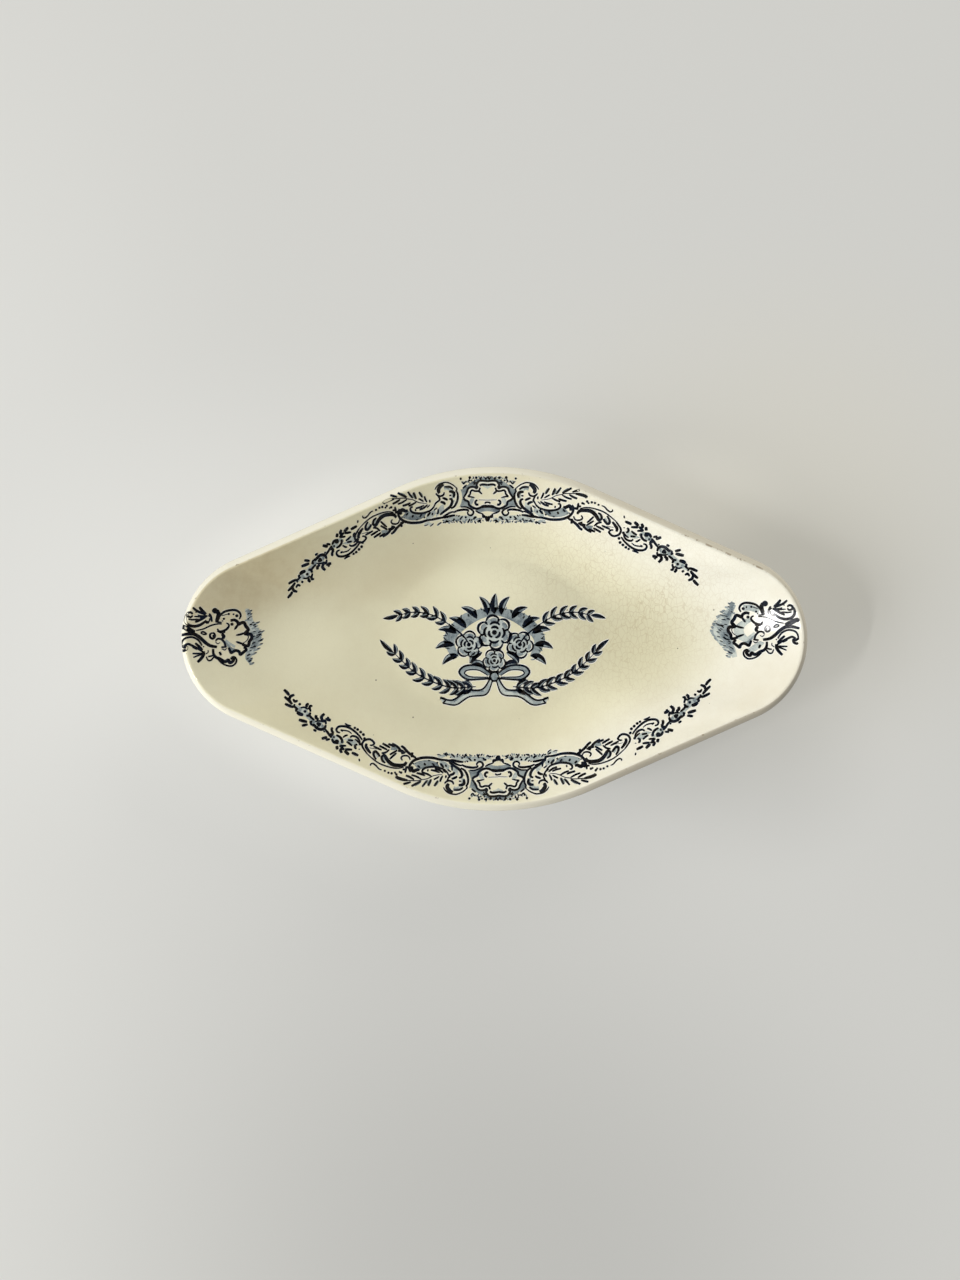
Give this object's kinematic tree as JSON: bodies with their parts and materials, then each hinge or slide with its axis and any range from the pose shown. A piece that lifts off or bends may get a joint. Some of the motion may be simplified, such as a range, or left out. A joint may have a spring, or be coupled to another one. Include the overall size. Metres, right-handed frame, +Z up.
{
  "type": "appetizer dish",
  "caption": "Lozenge-shaped glazed earthenware appetizer dish with a round rim, an oval flat floor and an oval foot ring; serves small foods.",
  "frame": {"origin": "centre of the dish at the tread of the foot ring, on the table", "axes": "+X along the dish to its right end, +Y across the dish away from the viewer, +Z up"},
  "size_m": [0.235, 0.129, 0.032],
  "materials": {
    "earthenware": "matt fired earthenware under the glaze",
    "bare_foot": "bare worn tread",
    "glaze": "glossy clear glaze over cream, finely crazed, with dark blue print"
  },
  "bodies": {
    "root": {"earthenware_body": "earthenware", "foot_ring": "bare_foot", "glaze_coat": "glaze", "recess_glaze": "glaze"}
  },
  "joints": []
}
